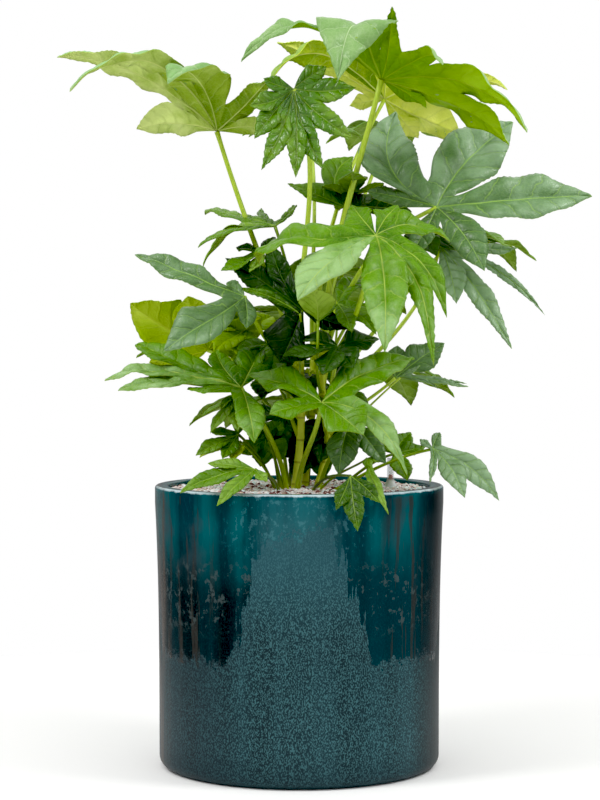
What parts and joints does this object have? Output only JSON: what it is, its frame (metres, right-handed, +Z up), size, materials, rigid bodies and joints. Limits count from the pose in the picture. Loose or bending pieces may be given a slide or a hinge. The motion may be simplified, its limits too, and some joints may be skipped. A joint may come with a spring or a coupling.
{
  "type": "potted fatsia plant",
  "caption": "Leafy fatsia with long-stalked, deeply lobed glossy leaves on slim green canes, in a straight round teal-glazed ceramic pot with a pale granule topping.",
  "frame": {"origin": "centre of the pot's flat underside", "axes": "+Z up along the pot's axis; the plant's front faces -Y"},
  "size_m": [0.637, 0.6441, 0.9018],
  "materials": {
    "glazed_pot": "glossy teal glaze",
    "granules": "matte mineral granules",
    "clear_plastic": "clear",
    "cane_bark": "satin green bark",
    "stalk_green": "smooth green stalk",
    "leaf_green": "glossy leaf"
  },
  "bodies": {
    "root": {"cane_1": "cane_bark", "cane_2": "cane_bark", "cane_3": "cane_bark", "granule_fill": "granules", "leaf_back_centre": "leaf_green", "leaf_back_left": "leaf_green", "leaf_back_low_left": "leaf_green", "leaf_back_low_right": "leaf_green", "leaf_back_mid": "leaf_green", "leaf_back_right": "leaf_green", "leaf_back_top": "leaf_green", "leaf_broad_right": "leaf_green", "leaf_crown_back": "leaf_green", "leaf_crown_front": "leaf_green", "leaf_crown_right": "leaf_green", "leaf_front": "leaf_green", "leaf_hanging_right": "leaf_green", "leaf_heart": "leaf_green", "leaf_high_left": "leaf_green", "leaf_inner_left": "leaf_green", "leaf_inner_right": "leaf_green", "leaf_inner_top": "leaf_green", "leaf_lime_left": "leaf_green", "leaf_low_front": "leaf_green", "leaf_low_left": "leaf_green", "leaf_low_right": "leaf_green", "leaf_low_shade": "leaf_green", "leaf_lower_left": "leaf_green", "leaf_mid_left": "leaf_green", "leaf_mid_right": "leaf_green", "leaf_rim_front": "leaf_green", "leaf_rim_left": "leaf_green", "leaf_small_left": "leaf_green", "leaf_young": "leaf_green", "pot": "glazed_pot", "stalk_back_centre": "stalk_green", "stalk_back_left": "stalk_green", "stalk_back_low_left": "stalk_green", "stalk_back_low_right": "stalk_green", "stalk_back_mid": "stalk_green", "stalk_back_right": "stalk_green", "stalk_back_top": "stalk_green", "stalk_broad_right": "stalk_green", "stalk_crown_back": "stalk_green", "stalk_crown_front": "stalk_green", "stalk_crown_right": "stalk_green", "stalk_front": "stalk_green", "stalk_hanging_right": "stalk_green", "stalk_heart": "stalk_green", "stalk_high_left": "stalk_green", "stalk_lime_left": "stalk_green", "stalk_low_front": "stalk_green", "stalk_low_left": "stalk_green", "stalk_low_right": "stalk_green", "stalk_low_shade": "stalk_green", "stalk_mid_left": "stalk_green", "stalk_mid_right": "stalk_green", "stalk_rim_front": "stalk_green", "water_gauge": "clear_plastic"}
  },
  "joints": []
}
